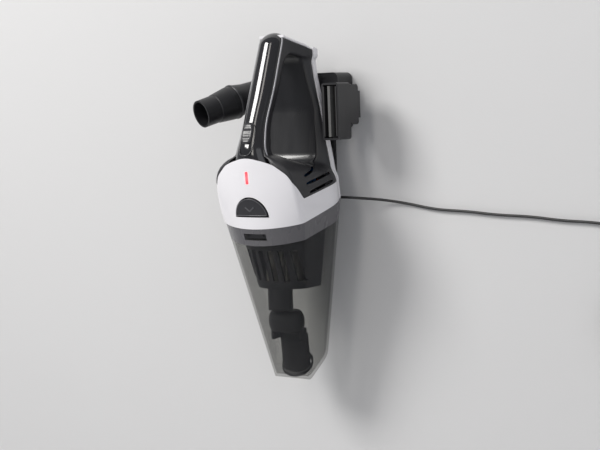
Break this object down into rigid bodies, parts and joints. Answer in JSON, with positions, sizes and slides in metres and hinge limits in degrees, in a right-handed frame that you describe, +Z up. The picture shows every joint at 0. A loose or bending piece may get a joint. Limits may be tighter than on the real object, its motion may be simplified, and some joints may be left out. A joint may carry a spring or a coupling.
{
  "type": "handheld vacuum",
  "caption": "Cordless handheld vacuum with clear smoke dust bin, docked on a wall charging bracket that carries a brush tool, a crevice tool and the charger lead.",
  "frame": {"origin": "middle of the two wall screw holes of the bracket, on the wall plane", "axes": "+Z up, -Y out from the wall towards the room, +X to the right as seen from the room"},
  "size_m": [0.4871, 0.1405, 0.378],
  "materials": {
    "white_shell": "gloss white moulding with a faint cool tint",
    "charcoal_panel": "fine-grained charcoal moulding",
    "gloss_black": "piano black moulding",
    "collar_grey": "satin dark grey moulding",
    "clear_smoke": "clear smoke-tinted moulding",
    "black_plastic": "black moulding",
    "black_rubber": "black rubber",
    "bristle": "pale nylon tufts",
    "filter_paper": "pleated filter paper",
    "steel": "plain steel",
    "brass_pin": "plated pins",
    "circuit": "green circuit board",
    "cell_wrap": "shrink-wrapped cells",
    "lamp_red": "red lamp window, lit",
    "fan_white": "natural nylon"
  },
  "bodies": {
    "bracket": {"wall_plate": "black_plastic", "tool_beam": "black_plastic", "hanging_tongue": "black_plastic", "screw_caps": "black_plastic", "charging_cradle": "black_plastic", "charging_plug": "black_rubber", "strain_relief": "black_rubber", "brush_peg": "black_plastic", "crevice_peg": "black_plastic", "cord_run": "black_rubber", "cord_tail": "black_rubber", "cord_coil": "black_rubber", "coil_tie": "black_plastic", "power_adapter": "black_plastic", "adapter_pins": "brass_pin", "adapter_relief": "black_rubber"},
    "vacuum": {"rear_shell": "white_shell", "front_shell": "white_shell", "handle_insert": "gloss_black", "opening_liner": "gloss_black", "side_panel_left": "charcoal_panel", "side_panel_right": "charcoal_panel", "battery_lamp": "lamp_red", "latch_pin": "steel", "latch_ears": "white_shell", "latch_spring": "steel", "switch_module": "black_plastic", "motor_can": "steel", "motor_plate": "black_plastic", "fan_housing": "black_plastic", "battery_cells": "cell_wrap", "cell_holders": "black_plastic", "circuit_board": "circuit", "filter_frame": "black_plastic", "filter_seal": "black_rubber", "filter_cage": "black_plastic", "pleated_filter": "filter_paper", "float_stub": "black_plastic", "charging_socket": "black_plastic"},
    "power_switch": {"switch_slider": "gloss_black"},
    "bin_release": {"release_button": "black_plastic"},
    "rotor": {"rotor_shaft": "steel", "impeller": "fan_white"},
    "bin": {"dust_bin": "clear_smoke", "bin_collar": "collar_grey", "inlet_lip": "black_rubber", "inlet_duct": "black_plastic", "duct_hood": "black_plastic"},
    "brush_tool": {"brush_body": "black_plastic", "bristle_holder": "black_plastic", "brush_bristles": "bristle", "brush_lip_pads": "collar_grey"},
    "crevice": {"crevice_tool": "black_plastic", "crevice_rim": "black_plastic"}
  },
  "joints": [
    {"name": "vacuum_lift", "type": "slide", "parent": "bracket", "child": "vacuum", "axis": [0, 0, 1], "range_m": [0, 0.024]},
    {"name": "power_slide", "type": "slide", "parent": "vacuum", "child": "power_switch", "axis": [0, -0.3746, -0.9272], "range_m": [0, 0.008]},
    {"name": "bin_release_press", "type": "hinge", "parent": "vacuum", "child": "bin_release", "pos_m": [0, -0.1285, -0.0905], "axis": [1, 0, 0], "range_deg": [0, 4], "stiffness_Nm_per_rad": 0.5},
    {"name": "motor_spin", "type": "hinge", "parent": "vacuum", "child": "rotor", "pos_m": [0, -0.084, -0.11479], "axis": [0, -0.2838, 0.9589], "continuous": true},
    {"name": "bin_slide", "type": "slide", "parent": "vacuum", "child": "bin", "axis": [0, 0, -1], "range_m": [0, 0.075]},
    {"name": "brush_pull", "type": "slide", "parent": "bracket", "child": "brush_tool", "axis": [0, -1, 0], "range_m": [0, 0.035]},
    {"name": "crevice_pull", "type": "slide", "parent": "bracket", "child": "crevice", "axis": [-0.3445, -0.8974, -0.2756], "range_m": [0, 0.035]}
  ]
}
